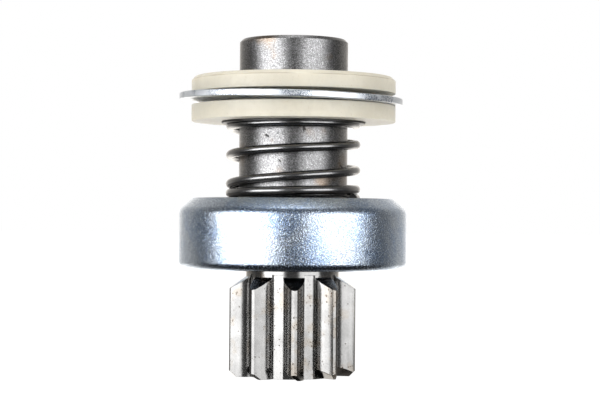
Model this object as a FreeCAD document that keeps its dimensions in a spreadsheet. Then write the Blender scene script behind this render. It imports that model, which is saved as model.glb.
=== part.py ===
"""Starter drive: a nine tooth pinion on a roller one-way clutch, with its splined sleeve, engagement
spring and shift rings. Millimetres, +Z along the axis from the pinion's end face towards the sleeve."""

import FreeCAD
import Part
import PartDesign
import Sketcher
import math
import os

V = FreeCAD.Vector
UP = V(0, 0, 1)

# Driving dimensions: alias, number, what it is
DIMENSIONS = (
    ("tooth_count", 9, "teeth of the pinion"),
    ("tooth_module", 2.54, "pitch diameter over tooth count"),
    ("tooth_shift", 1.27, "how far the cutter was backed out"),
    ("pressure_angle", 20.0, "degrees"),
    ("tip_diameter", 30.0, "over the tooth tips"),
    ("root_diameter", 20.7, "at the foot of the teeth"),
    ("tip_flare", 0.25, "broken edge along each side of a tooth tip"),
    ("tip_flare_slope", 0.8, "width of that edge over its height"),
    ("tooth_length", 20.4, "end face to the back of the tips"),
    ("tooth_back_run", 2.8, "length of the cone behind the teeth"),
    ("tooth_gap_runout", 0.6, "how far the gaps run on into the neck"),
    ("tip_chamfer", 1.5, "cone at the free end of the tips"),
    ("entry_bevel_start", 0.8, "past the middle of the tooth"),
    ("entry_bevel_width", 3.2, "from the middle of the tooth over its trailing side"),
    ("entry_bevel_slope", 0.7, "rise over run"),
    ("pinion_turn", 2.0, "degrees that the front tooth is turned"),
    ("neck_diameter", 21.8, "pinion neck and inner race"),
    ("neck_length", 1.9, "bare neck between teeth and cover"),
    ("bush_diameter", 16.0, "outside of the bronze bushes"),
    ("shaft_diameter", 14.0, "bore of the bronze bushes"),
    ("front_bush_length", 14.0, "bush at the free end"),
    ("rear_bush_length", 9.0, "bush inside the clutch"),
    ("bush_inset", 1.0, "bush ends below the pinion's ends"),
    ("bush_edge", 0.3, "chamfer inside each end of a bush"),
    ("bore_chamfer", 0.6, "mouths of the pinion bore"),
    ("cover_diameter", 53.2, "drawn cover, outside"),
    ("cover_height", 16.4, "drawn cover, overall"),
    ("cover_sheet", 1.2, "sheet thickness"),
    ("cover_corner", 1.7, "outside radius of the drawn corner"),
    ("crimp_reach", 3.2, "how far the crimped lip comes in"),
    ("crimp_drop", 2.8, "height of the crimped lip"),
    ("crimp_bend", 2.6, "outside radius where the lip bends"),
    ("front_washer_thickness", 1.0, "steel washer inside the cover"),
    ("half_ring_thickness", 1.5, "split ring in the race groove"),
    ("half_ring_diameter", 32.0, "split ring, outside"),
    ("half_ring_gap", 4.0, "degrees between the two halves"),
    ("race_groove_depth", 1.5, "groove that holds the split ring"),
    ("roller_plate_thickness", 1.0, "plate that closes the roller pockets"),
    ("roller_plate_diameter", 40.0, "plate, outside"),
    ("roller_count", 5, "rollers of the clutch"),
    ("roller_diameter", 6.0, "roller"),
    ("roller_length", 8.0, "roller"),
    ("roller_travel", 0.7, "along the wedge until it runs free"),
    ("wedge_angle", 6.0, "degrees between cam and tangent"),
    ("plunger_diameter", 4.4, "cap that pushes a roller"),
    ("plunger_length", 5.0, "cap that pushes a roller"),
    ("plunger_wall", 0.6, "cap that pushes a roller"),
    ("roller_spring_diameter", 2.9, "spring behind a cap"),
    ("roller_spring_wire", 0.45, "spring behind a cap"),
    ("roller_spring_turns", 4, "spring behind a cap"),
    ("roller_spring_length", 7.9, "spring behind a cap, fully pressed"),
    ("sleeve_diameter", 25.4, "sleeve, outside"),
    ("sleeve_length", 37.1, "disc to free end"),
    ("sleeve_edge", 0.4, "chamfer on the free end"),
    ("sleeve_foot", 0.8, "fillet between disc and sleeve"),
    ("pilot_diameter", 20.4, "plain bore at the free end"),
    ("pilot_depth", 8.0, "plain bore at the free end"),
    ("spline_count", 10, "grooves in the sleeve"),
    ("spline_bore", 17.0, "bore between the grooves"),
    ("spline_depth", 1.5, "grooves in the sleeve"),
    ("spline_width", 2.9, "grooves in the sleeve"),
    ("spline_lead", 110.0, "height of one full turn"),
    ("spline_relief_foot", 2.5, "disc to the relief at the end of the grooves"),
    ("spline_relief", 4.0, "height of that relief"),
    ("spline_overrun", 0.5, "how far the grooves are cut into the spaces at their ends"),
    ("spring_play", 1.05, "between the sleeve and the engagement spring"),
    ("spring_wire", 2.0, "engagement spring"),
    ("spring_length", 17.4, "engagement spring, as fitted"),
    ("spring_closed_pitch", 2.08, "of the closed lower turns"),
    ("spring_closed_turns", 1.55, "lower end"),
    ("spring_open_turns", 2.0, "turns that work"),
    ("spring_end_turns", 0.53, "upper end"),
    ("spring_end_rise", 0.55, "of the closed upper turn"),
    ("spring_start", -20.0, "degrees, where the lower end lies"),
    ("spring_lean", 0.8, "how much the third turn leans"),
    ("spring_lean_place", 0.75, "where, as a share of the open turns"),
    ("spring_lean_spread", 0.16, "how widely, as a share of the open turns"),
    ("spring_turn_points", 12, "points that draw one turn"),
    ("seat_overhang", 1.1, "thin washer, past the outside of the spring"),
    ("seat_thickness", 0.5, "thin washer on the spring"),
    ("shift_ring_diameter", 47.8, "both nylon rings"),
    ("shift_ring_thickness", 3.8, "both nylon rings"),
    ("shift_ring_edge", 0.85, "chamfer of the upper ring"),
    ("shift_ring_gap", 2.8, "between the rings"),
    ("hub_diameter", 31.2, "bosses that hold the rings apart"),
    ("shift_washer_play", 1.1, "between the bosses and the loose washer"),
    ("shift_washer_width", 9.45, "loose washer, bore to rim"),
    ("shift_washer_thickness", 1.5, "loose washer between the rings"),
    ("shift_washer_edge", 0.2, "rounding of its rim"),
    ("shift_washer_offset", 0.6, "how far it hangs to one side"),
    ("shift_washer_tilt", 1.25, "degrees, higher on that side"),
    ("shift_washer_nod", 0.4, "degrees, lower at the front"),
    ("snap_ring_thickness", 1.3, "stop for the upper ring"),
    ("snap_ring_diameter", 28.8, "stop for the upper ring"),
    ("snap_ring_opening", 24.0, "degrees"),
    ("snap_groove_depth", 0.8, "in the sleeve"),
    ("snap_pocket_depth", 1.5, "counterbore in the upper ring"),
    ("running_clearance", 0.05, "between turning faces, each side"),
    ("sliding_clearance", 0.1, "rings on the sleeve, each side"),
    ("fitted_clearance", 0.02, "pieces that are clamped together"),
    ("free_clearance", 0.3, "holes that only let something through"),
)


class Size:
    """A number from the sheet, or one worked out from it, with the formula that says how."""

    def __init__(self, number, formula=None):
        self.number = float(number)
        self.formula = formula if formula is not None else repr(self.number)

    def _with(self, other, sign, number, turned=False):
        other = as_size(other)
        first, last = (other, self) if turned else (self, other)
        return Size(number(first.number, last.number), f"({first.formula} {sign} {last.formula})")

    def __add__(self, other):
        return self._with(other, "+", lambda a, b: a + b)

    def __sub__(self, other):
        return self._with(other, "-", lambda a, b: a - b)

    def __mul__(self, other):
        return self._with(other, "*", lambda a, b: a * b)

    def __truediv__(self, other):
        return self._with(other, "/", lambda a, b: a / b)

    def __rsub__(self, other):
        return self._with(other, "-", lambda a, b: a - b, turned=True)

    __radd__ = __add__
    __rmul__ = __mul__

    def __neg__(self):
        return self * -1


def as_size(value):
    return value if isinstance(value, Size) else Size(value)


def root(value):
    return Size(math.sqrt(value.number), f"sqrt({value.formula})")


doc = FreeCAD.newDocument("StarterDrive")
sheet = doc.addObject("Spreadsheet::Sheet", "Sizes")
for row, (alias, number, meaning) in enumerate(DIMENSIONS, start=1):
    sheet.set(f"A{row}", alias)
    sheet.set(f"B{row}", str(number))
    sheet.set(f"C{row}", meaning)
    sheet.setAlias(f"B{row}", alias)
doc.recompute()


def dim(alias):
    return Size(sheet.get(alias), f"Sizes.{alias}")


ZERO = Size(0)

# Radii
tip_radius = dim("tip_diameter") / 2
root_radius = dim("root_diameter") / 2
neck_radius = dim("neck_diameter") / 2
bush_radius = dim("bush_diameter") / 2
shaft_radius = dim("shaft_diameter") / 2
cover_radius = dim("cover_diameter") / 2
cover_inside = cover_radius - dim("cover_sheet")
cover_hole = neck_radius + dim("free_clearance")
roller_radius = dim("roller_diameter") / 2
roller_plate_radius = dim("roller_plate_diameter") / 2
sleeve_radius = dim("sleeve_diameter") / 2
spline_bore_radius = dim("spline_bore") / 2
pilot_radius = dim("pilot_diameter") / 2
ring_bore = sleeve_radius + dim("sliding_clearance")
hub_radius = dim("hub_diameter") / 2
shift_washer_bore_radius = hub_radius + dim("shift_washer_play")
spring_radius = sleeve_radius + dim("spring_play") + dim("spring_wire")
seat_radius = spring_radius + dim("seat_overhang")
shift_ring_radius = dim("shift_ring_diameter") / 2
snap_ring_radius = dim("snap_ring_diameter") / 2
snap_groove_radius = sleeve_radius - dim("snap_groove_depth")

# Heights, stacked from the pinion's end face
neck_start = dim("tooth_length") + dim("tooth_back_run")
cover_base = neck_start + dim("neck_length")
front_washer_base = cover_base + dim("cover_sheet")
clutch_base = front_washer_base + dim("front_washer_thickness")
half_ring_base = clutch_base + dim("running_clearance")
half_ring_top = half_ring_base + dim("half_ring_thickness")
roller_plate_base = half_ring_top + dim("running_clearance")
roller_plate_top = roller_plate_base + dim("roller_plate_thickness")
roller_base = roller_plate_top + dim("running_clearance") * 2
roller_middle = roller_base + dim("roller_length") / 2
clutch_ceiling = roller_base + dim("roller_length") + dim("running_clearance") * 2
race_top = clutch_ceiling - dim("free_clearance")
disc_top = cover_base + dim("cover_height")
sleeve_top = disc_top + dim("sleeve_length")
relief_foot = disc_top + dim("spline_relief_foot")
relief_top = relief_foot + dim("spline_relief")
pilot_floor = sleeve_top - dim("pilot_depth")
seat_base = disc_top + dim("spring_length")
lower_ring_base = seat_base + dim("seat_thickness")
gap_middle = lower_ring_base + dim("shift_ring_thickness") + dim("shift_ring_gap") / 2
upper_ring_top = gap_middle + dim("shift_ring_gap") / 2 + dim("shift_ring_thickness")
snap_ring_base = upper_ring_top - dim("snap_pocket_depth") + dim("running_clearance")

# Places of a roller and of the cap behind it
roller_circle = neck_radius + roller_radius + dim("fitted_clearance")
plunger_start = roller_radius + dim("fitted_clearance")
spring_end = plunger_start + dim("plunger_wall") + dim("roller_travel") + dim("running_clearance")
plunger_bore_end = spring_end + dim("roller_spring_length")
plunger_bore_radius = dim("plunger_diameter") / 2 + dim("running_clearance")


def plane(body, role):
    return next(f for f in body.Origin.OriginFeatures if f.Role == role)


def new_body(label, height=None):
    """A body named for its piece. With a height, its own foot stays at that height."""
    body = doc.addObject("PartDesign::Body", label)
    body.Label = label
    if height is not None:
        body.Placement = FreeCAD.Placement(V(0, 0, height.number), FreeCAD.Rotation())
        body.setExpression("Placement.Base.z", height.formula)
    return body


def new_sketch(body, name, role, lift=ZERO):
    sketch = body.newObject("Sketcher::SketchObject", name)
    sketch.AttachmentSupport = [(plane(body, role), "")]
    sketch.MapMode = "FlatFace"
    sketch.AttachmentOffset = FreeCAD.Placement(V(0, 0, lift.number), FreeCAD.Rotation())
    sketch.setExpression("AttachmentOffset.Base.z", lift.formula)
    return sketch


def pin_point(sketch, line, point):
    """Ties the start of a line to its two sizes."""
    for kind, axis, size in (("DistanceX", -2, point[0]), ("DistanceY", -1, point[1])):
        if abs(size.number) < 1e-9:
            sketch.addConstraint(Sketcher.Constraint("PointOnObject", line, 1, axis))
            continue
        index = sketch.addConstraint(Sketcher.Constraint(kind, -1, 1, line, 1, size.number))
        sketch.setExpression(f"Constraints[{index}]", size.formula)


def outline(sketch, points):
    """A closed outline of straight lines whose corners are all tied to the sheet."""
    points = [(as_size(x), as_size(y)) for x, y in points]
    corners = [V(x.number, y.number, 0) for x, y in points]
    for index, corner in enumerate(corners):
        sketch.addGeometry(Part.LineSegment(corner, corners[(index + 1) % len(corners)]))
    for index in range(len(corners)):
        following = (index + 1) % len(corners)
        sketch.addConstraint(Sketcher.Constraint("Coincident", index, 2, following, 1))
    for index, point in enumerate(points):
        pin_point(sketch, index, point)
    return sketch


def turned(body, points, angle=Size(360)):
    """Turns a half section, given as radius and height, about the body's upright axis."""
    sketch = outline(new_sketch(body, "HalfSection", "XZ_Plane"), points)
    turning = body.newObject("PartDesign::Revolution", "Turned")
    turning.Profile = sketch
    turning.ReferenceAxis = (sketch, ["V_Axis"])
    turning.Angle = angle.number
    turning.setExpression("Angle", angle.formula)
    doc.recompute()
    return turning


def cut(body, name, sketch, depth, forwards):
    """Cuts a sketch into the body, along the sketch's normal or against it."""
    before = body.Shape.Volume
    pocket = body.newObject("PartDesign::Pocket", name)
    pocket.Profile = sketch
    pocket.Length = depth.number
    pocket.setExpression("Length", depth.formula)
    pocket.Reversed = forwards
    doc.recompute()
    if body.Shape.Volume > before - 1e-3:
        raise RuntimeError(f"{body.Label}: {name} removed nothing")
    return pocket


def repeated(body, feature, name, count):
    """Repeats a cut round the body's upright axis."""
    before = body.Shape.Volume
    pattern = body.newObject("PartDesign::PolarPattern", name)
    pattern.Originals = [feature]
    pattern.Axis = (plane(body, "Z_Axis"), [""])
    pattern.Angle = 360
    pattern.Occurrences = int(count.number)
    pattern.setExpression("Occurrences", count.formula)
    body.Tip = pattern
    doc.recompute()
    if body.Shape.Volume > before - 1e-3:
        raise RuntimeError(f"{body.Label}: {name} repeated nothing")
    return pattern


def rounded(body, name, radius, places):
    """Rounds the circular edges that lie at the given radius and height, in the body's own frame."""
    base = body.Tip
    names = []
    for index, edge in enumerate(base.Shape.Edges, start=1):
        curve = edge.Curve
        if not isinstance(curve, Part.Circle):
            continue
        for place_radius, place_height in places:
            if (
                abs(curve.Radius - place_radius.number) < 1e-4
                and abs(curve.Center.z - place_height.number) < 1e-4
            ):
                names.append(f"Edge{index}")
    fillet = body.newObject("PartDesign::Fillet", name)
    fillet.Base = (base, names)
    fillet.Radius = radius.number
    fillet.setExpression("Radius", radius.formula)
    body.Tip = fillet
    doc.recompute()
    return fillet


def turned_about_axis(degrees):
    return FreeCAD.Rotation(UP, degrees)


# Pinion: teeth, neck and inner race in one piece
FLANK_STEPS = 4


def involute_point(base_radius, radius, foot_angle, side):
    """Point of a tooth flank at a radius, where foot_angle is the flank's angle at the base circle."""
    opening = math.acos(min(1.0, base_radius / radius))
    angle = foot_angle - side * (math.tan(opening) - opening)
    return V(radius * math.cos(angle), radius * math.sin(angle), 0)


def gap_outline(sketch):
    """The space between two teeth: involute flanks on a round root, flared at the tips."""
    count = dim("tooth_count").number
    module = dim("tooth_module").number
    pressure = math.radians(dim("pressure_angle").number)
    pitch_radius = count * module / 2
    base_radius = pitch_radius * math.cos(pressure)
    thickness = module * math.pi / 2 + 2 * dim("tooth_shift").number * math.tan(pressure)
    tooth_half_angle = thickness / (2 * pitch_radius) + math.tan(pressure) - pressure
    middle = math.radians(-90) + math.pi / count
    gap_half_angle = math.pi / count - tooth_half_angle
    flare = dim("tip_flare").number
    slope = dim("tip_flare_slope").number
    tip = tip_radius.number
    flank_end = tip - flare
    flanks = []
    for side in (-1, 1):
        foot = middle + side * gap_half_angle
        inside = V(root_radius.number * math.cos(foot), root_radius.number * math.sin(foot), 0)
        radii = [
            base_radius + (flank_end - base_radius) * step / FLANK_STEPS
            for step in range(FLANK_STEPS + 1)
        ]
        points = [involute_point(base_radius, radius, foot, -side) for radius in radii]
        along = (points[-1] - points[-2]).normalize()
        sideways = V(-along.y, along.x, 0) * side
        outside = points[-1] + (along + sideways * slope) * (module / 2)
        flanks.append((inside, points, outside))
    (low_in, low, low_out), (high_in, high, high_out) = flanks
    curve_low = Part.BSplineCurve()
    curve_low.interpolate(low)
    curve_high = Part.BSplineCurve()
    curve_high.interpolate(list(reversed(high)))
    outwards = V(math.cos(middle), math.sin(middle), 0)
    root_middle = outwards * root_radius.number
    beyond = outwards * (tip + module)
    edges = (
        Part.LineSegment(low_in, low[0]),
        curve_low,
        Part.LineSegment(low[-1], low_out),
        Part.LineSegment(low_out, beyond),
        Part.LineSegment(beyond, high_out),
        Part.LineSegment(high_out, high[-1]),
        curve_high,
        Part.LineSegment(high[0], high_in),
        Part.Arc(high_in, root_middle, low_in),
    )
    for edge in edges:
        sketch.addGeometry(edge)
    return sketch


def make_pinion():
    body = new_body("pinion")
    groove = neck_radius - dim("race_groove_depth")
    chamfer = dim("bore_chamfer")
    turned(
        body,
        [
            (bush_radius + chamfer, 0),
            (tip_radius - dim("tip_chamfer"), 0),
            (tip_radius, dim("tip_chamfer")),
            (tip_radius, dim("tooth_length")),
            (neck_radius, neck_start),
            (neck_radius, clutch_base),
            (groove, clutch_base),
            (groove, half_ring_top + dim("running_clearance")),
            (neck_radius, half_ring_top + dim("running_clearance")),
            (neck_radius, race_top),
            (bush_radius + chamfer, race_top),
            (bush_radius, race_top - chamfer),
            (bush_radius, chamfer),
        ],
    )
    gap = gap_outline(new_sketch(body, "ToothGap", "XY_Plane"))
    gap_cut = cut(body, "GapCut", gap, neck_start + dim("tooth_gap_runout"), True)
    repeated(body, gap_cut, "ToothGaps", dim("tooth_count"))
    start = dim("entry_bevel_start")
    width = dim("entry_bevel_width")
    bevel = outline(
        new_sketch(body, "EntryBevel", "XZ_Plane", root_radius),
        [
            (start, 0),
            (-width, (width + start) * dim("entry_bevel_slope")),
            (-width, -1),
            (start, -1),
        ],
    )
    bevel_cut = cut(body, "EntryBevelCut", bevel, tip_radius, True)
    repeated(body, bevel_cut, "EntryBevels", dim("tooth_count"))
    body.Placement = FreeCAD.Placement(V(), turned_about_axis(dim("pinion_turn").number))
    return body


# Plain washers, bushes and rings, all turned
def make_ring(label, base, height, inside, outside):
    body = new_body(label, base)
    turned(body, [(inside, 0), (outside, 0), (outside, height), (inside, height)])
    return body


def make_bush(label, base, length):
    body = new_body(label, base)
    edge = dim("bush_edge")
    turned(
        body,
        [
            (shaft_radius + edge, 0),
            (bush_radius, 0),
            (bush_radius, length),
            (shaft_radius + edge, length),
            (shaft_radius, length - edge),
            (shaft_radius, edge),
        ],
    )
    return body


# Cover: a drawn cup, crimped over the shoulder of the clutch body
crimp_slope = root(
    dim("crimp_reach") * dim("crimp_reach") + dim("crimp_drop") * dim("crimp_drop")
)
crimp_outside_bend = dim("cover_height") - dim("crimp_drop")
crimp_inside_bend = crimp_outside_bend - dim("cover_sheet") * (
    crimp_slope - dim("crimp_drop")
) / dim("crimp_reach")


def make_cover():
    body = new_body("clutch_cover", cover_base)
    sheet_thickness = dim("cover_sheet")
    lip = cover_radius - dim("crimp_reach")
    lip_inside = lip - sheet_thickness * dim("crimp_drop") / crimp_slope
    lip_under = dim("cover_height") - sheet_thickness * dim("crimp_reach") / crimp_slope
    turned(
        body,
        [
            (cover_hole, 0),
            (cover_radius, 0),
            (cover_radius, crimp_outside_bend),
            (lip, dim("cover_height")),
            (lip_inside, lip_under),
            (cover_inside, crimp_inside_bend),
            (cover_inside, sheet_thickness),
            (cover_hole, sheet_thickness),
        ],
    )
    rounded(body, "DrawnCorner", dim("cover_corner"), [(cover_radius, ZERO)])
    rounded(body, "CrimpBend", dim("crimp_bend"), [(cover_radius, crimp_outside_bend)])
    return body


# Clutch body and sleeve: outer race with five wedge pockets, disc and splined sleeve in one piece
def pocket_outline(sketch):
    """One roller pocket, wide towards -X, under a cam face that closes towards +X."""
    slope = math.tan(math.radians(dim("wedge_angle").number))
    slope = Size(slope, "tan(Sizes.wedge_angle * 1deg)")
    cam = roller_circle + roller_radius + dim("fitted_clearance")
    wide = roller_radius + dim("roller_travel") + dim("free_clearance")
    narrow = roller_radius + dim("free_clearance")
    inside = neck_radius - dim("race_groove_depth")
    return outline(
        sketch,
        [
            (-wide, inside),
            (narrow, inside),
            (narrow, cam - narrow * slope),
            (-wide, cam + wide * slope),
        ],
    )


def make_drive_sleeve():
    body = new_body("drive_sleeve_blank", clutch_base)
    outer_race = cover_inside - dim("fitted_clearance")
    boss = cover_radius - dim("crimp_reach") - dim("cover_sheet")
    shoulder_foot = cover_base + crimp_inside_bend - dim("fitted_clearance")
    shoulder_top = shoulder_foot + (outer_race - boss) * dim("crimp_drop") / dim("crimp_reach")
    plate_seat = roller_plate_radius + dim("fitted_clearance")
    clutch_bore = neck_radius + dim("free_clearance")
    groove_low = snap_ring_base - dim("fitted_clearance")
    groove_high = snap_ring_base + dim("snap_ring_thickness") + dim("fitted_clearance")
    edge = dim("sleeve_edge")
    relief = pilot_radius - dim("running_clearance")
    drilled = spline_bore_radius - dim("spline_depth") / 2
    profile = [
        (plate_seat, clutch_base),
        (outer_race, clutch_base),
        (outer_race, shoulder_foot),
        (boss, shoulder_top),
        (boss, disc_top),
        (sleeve_radius, disc_top),
        (sleeve_radius, groove_low),
        (snap_groove_radius, groove_low),
        (snap_groove_radius, groove_high),
        (sleeve_radius, groove_high),
        (sleeve_radius, sleeve_top - edge),
        (sleeve_radius - edge, sleeve_top),
        (pilot_radius + edge, sleeve_top),
        (pilot_radius, sleeve_top - edge),
        (pilot_radius, pilot_floor),
        (drilled, pilot_floor),
        (drilled, relief_top),
        (relief, relief_top),
        (relief, relief_foot),
        (spline_bore_radius, relief_foot),
        (spline_bore_radius, clutch_ceiling),
        (clutch_bore, clutch_ceiling),
        (clutch_bore, roller_plate_top),
        (plate_seat, roller_plate_top),
    ]
    turned(body, [(radius, height - clutch_base) for radius, height in profile])
    foot = disc_top - clutch_base
    rounded(body, "SleeveFoot", dim("sleeve_foot"), [(sleeve_radius, foot)])

    floor = roller_plate_top - clutch_base
    pocket = pocket_outline(new_sketch(body, "RollerPocket", "XY_Plane", floor))
    pocket_cut = cut(body, "PocketCut", pocket, clutch_ceiling - roller_plate_top, True)
    repeated(body, pocket_cut, "RollerPockets", dim("roller_count"))

    bore = new_sketch(body, "PlungerBore", "YZ_Plane")
    middle = roller_middle - clutch_base
    centre = V(roller_circle.number, middle.number, 0)
    bore.addGeometry(Part.Circle(centre, UP, plunger_bore_radius.number))
    for kind, size in (("DistanceX", roller_circle), ("DistanceY", middle)):
        index = bore.addConstraint(Sketcher.Constraint(kind, -1, 1, 0, 3, size.number))
        bore.setExpression(f"Constraints[{index}]", size.formula)
    index = bore.addConstraint(Sketcher.Constraint("Radius", 0, plunger_bore_radius.number))
    bore.setExpression(f"Constraints[{index}]", plunger_bore_radius.formula)
    bore_cut = cut(body, "PlungerBoreCut", bore, plunger_bore_end, False)
    repeated(body, bore_cut, "PlungerBores", dim("roller_count"))

    sleeve = doc.addObject("Part::Cut", "drive_sleeve")
    sleeve.Label = "drive_sleeve"
    sleeve.Base = body
    sleeve.Tool = make_spline_cutter()
    doc.recompute()
    return sleeve


def make_spline_cutter():
    """The splined bore as a solid: a ten lobed section that twists like a right-hand thread."""
    count = int(dim("spline_count").number)
    half_width = dim("spline_width").number / 2
    low = spline_bore_radius.number
    high = low + dim("spline_depth").number
    overrun = dim("spline_overrun").number
    foot = relief_top.number - overrun
    head = pilot_floor.number + overrun

    def at(radius, angle):
        return V(radius * math.cos(angle), radius * math.sin(angle), foot)

    low_half = math.asin(half_width / low)
    high_half = math.asin(half_width / high)
    edges = []
    for number in range(count):
        middle = 2 * math.pi * number / count
        following = middle + 2 * math.pi / count
        corners = (at(low, middle - low_half), at(high, middle - high_half))
        edges.append(Part.LineSegment(*corners))
        edges.append(Part.Arc(corners[1], at(high, middle), at(high, middle + high_half)))
        corners = (at(high, middle + high_half), at(low, middle + low_half))
        edges.append(Part.LineSegment(*corners))
        land = at(low, (middle + following) / 2)
        edges.append(Part.Arc(corners[1], land, at(low, following - low_half)))
    section = Part.Wire([edge.toShape() for edge in edges])
    spine = Part.Wire([Part.LineSegment(V(0, 0, foot), V(0, 0, head)).toShape()])
    guide = Part.makeHelix(dim("spline_lead").number, head - foot, low)
    guide.translate(V(0, 0, foot))
    twisted = Part.BRepOffsetAPI.MakePipeShell(spine)
    twisted.setAuxiliarySpine(guide, True, 0)
    twisted.add(section, False, False)
    twisted.build()
    twisted.makeSolid()
    cutter = doc.addObject("Part::Feature", "spline_cutter")
    cutter.Label = "spline_cutter"
    cutter.Shape = twisted.shape()
    return cutter


# Split ring that keeps the race in the cover, in two halves
def make_half_ring(label, start):
    body = new_body(label, half_ring_base)
    inside = neck_radius - dim("race_groove_depth") + dim("fitted_clearance")
    outside = dim("half_ring_diameter") / 2
    height = dim("half_ring_thickness")
    turned(
        body,
        [(inside, 0), (outside, 0), (outside, height), (inside, height)],
        180 - dim("half_ring_gap"),
    )
    place = V(0, 0, half_ring_base.number)
    body.Placement = FreeCAD.Placement(place, turned_about_axis(start))
    return body


# Rollers, with the caps and springs that push them into the narrow end of their pockets
def beside_roller(along, angle):
    """Where something lies behind a roller: its own axis points into the bore for the cap."""
    lying = FreeCAD.Rotation(V(0, 1, 0), -90)
    place = V(-along.number, roller_circle.number, roller_middle.number)
    turn = FreeCAD.Placement(V(), turned_about_axis(angle))
    return turn.multiply(FreeCAD.Placement(place, lying))


def make_roller(label, angle):
    roller = doc.addObject("Part::Cylinder", label)
    roller.Label = label
    roller.setExpression("Radius", roller_radius.formula)
    roller.setExpression("Height", dim("roller_length").formula)
    edge = turned_about_axis(angle).multVec(V(0, roller_circle.number, roller_base.number))
    roller.Placement = FreeCAD.Placement(edge, FreeCAD.Rotation())
    return roller


def make_plunger(label, angle):
    body = new_body(label)
    outside = dim("plunger_diameter") / 2
    wall = dim("plunger_wall")
    length = dim("plunger_length")
    turned(
        body,
        [
            (0, 0),
            (outside, 0),
            (outside, length),
            (outside - wall, length),
            (outside - wall, wall),
            (0, wall),
        ],
    )
    body.Placement = beside_roller(plunger_start, angle)
    return body


def make_roller_spring(label, angle):
    """A short coil, its wire drawn with a square section."""
    body = new_body(label)
    wire = dim("roller_spring_wire")
    outside = dim("roller_spring_diameter") / 2
    height = dim("roller_spring_length") - wire - dim("fitted_clearance")
    sketch = outline(
        new_sketch(body, "WireSection", "XZ_Plane"),
        [(outside - wire, 0), (outside, 0), (outside, wire), (outside - wire, wire)],
    )
    coil = body.newObject("PartDesign::AdditiveHelix", "Coil")
    coil.Profile = sketch
    coil.ReferenceAxis = (sketch, ["V_Axis"])
    coil.Mode = "height-turns-angle"
    coil.Height = height.number
    coil.setExpression("Height", height.formula)
    coil.Turns = dim("roller_spring_turns").number
    coil.setExpression("Turns", dim("roller_spring_turns").formula)
    doc.recompute()
    body.Placement = beside_roller(spring_end, angle)
    return body


# Engagement spring: a closed lower end, two working turns and a closed upper end, ground flat
def wire_height(turns):
    """Height of the wire's middle above the disc, turns counted from the lower end."""
    closed = dim("spring_closed_turns").number
    opened = dim("spring_open_turns").number
    ended = dim("spring_end_turns").number
    length = dim("spring_length").number
    rise = dim("spring_closed_pitch").number * closed
    end_rise = dim("spring_end_rise").number
    if turns <= closed:
        return rise * turns / closed
    if turns <= closed + opened:
        share = (turns - closed) / opened
        offset = (share - dim("spring_lean_place").number) / dim("spring_lean_spread").number
        lean = dim("spring_lean").number * math.exp(-(offset**2))
        return rise + (length - end_rise - rise) * share - lean
    return length - end_rise + end_rise * (turns - closed - opened) / ended


def make_engagement_spring():
    wire = dim("spring_wire").number / 2
    middle = spring_radius.number - wire
    start = dim("spring_start").number
    turns = sum(dim(f"spring_{part}_turns").number for part in ("closed", "open", "end"))
    steps = round(turns * dim("spring_turn_points").number)
    points = []
    for step in range(steps + 1):
        angle = math.radians(start) + 2 * math.pi * turns * step / steps
        height = wire_height(turns * step / steps)
        points.append(V(middle * math.cos(angle), middle * math.sin(angle), height))
    curve = Part.BSplineCurve()
    curve.interpolate(points)
    path = Part.Wire([curve.toShape()])
    section = Part.Wire([Part.Circle(points[0], curve.tangent(curve.FirstParameter)[0], wire).toShape()])
    coil = path.makePipeShell([section], True, True)
    length = dim("spring_length").number
    ground = Part.makeCylinder(middle + 2 * wire, length)
    spring = doc.addObject("Part::Feature", "engagement_spring")
    spring.Label = "engagement_spring"
    spring.Shape = coil.common(ground)
    spring.Placement = FreeCAD.Placement(V(0, 0, disc_top.number), FreeCAD.Rotation())
    return spring


# Shift rings: two nylon rings whose bosses meet, with a loose steel washer between them
def make_lower_shift_ring():
    body = new_body("lower_shift_ring", lower_ring_base)
    thick = dim("shift_ring_thickness")
    top = thick + dim("shift_ring_gap") / 2
    turned(
        body,
        [
            (ring_bore, 0),
            (shift_ring_radius, 0),
            (shift_ring_radius, thick),
            (hub_radius, thick),
            (hub_radius, top),
            (ring_bore, top),
        ],
    )
    return body


def make_upper_shift_ring():
    body = new_body("upper_shift_ring", gap_middle)
    under = dim("shift_ring_gap") / 2
    top = under + dim("shift_ring_thickness")
    edge = dim("shift_ring_edge")
    pocket = snap_ring_radius + dim("free_clearance") * 2
    pocket_floor = top - dim("snap_pocket_depth")
    turned(
        body,
        [
            (ring_bore, 0),
            (hub_radius, 0),
            (hub_radius, under),
            (shift_ring_radius, under),
            (shift_ring_radius, top - edge),
            (shift_ring_radius - edge, top),
            (pocket, top),
            (pocket, pocket_floor),
            (ring_bore, pocket_floor),
        ],
    )
    return body


def make_shift_washer():
    thick = dim("shift_washer_thickness")
    inside = shift_washer_bore_radius
    outside = inside + dim("shift_washer_width")
    body = new_body("shift_washer", gap_middle)
    turned(
        body,
        [
            (inside, -(thick / 2)),
            (outside, -(thick / 2)),
            (outside, thick / 2),
            (inside, thick / 2),
        ],
    )
    rim = dim("shift_washer_edge")
    rounded(body, "RimEdges", rim, [(outside, -(thick / 2)), (outside, thick / 2)])
    tilt = FreeCAD.Rotation(V(0, 1, 0), dim("shift_washer_tilt").number)
    nod = FreeCAD.Rotation(V(1, 0, 0), dim("shift_washer_nod").number)
    place = V(-dim("shift_washer_offset").number, 0, gap_middle.number)
    body.Placement = FreeCAD.Placement(place, tilt.multiply(nod))
    return body


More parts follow.
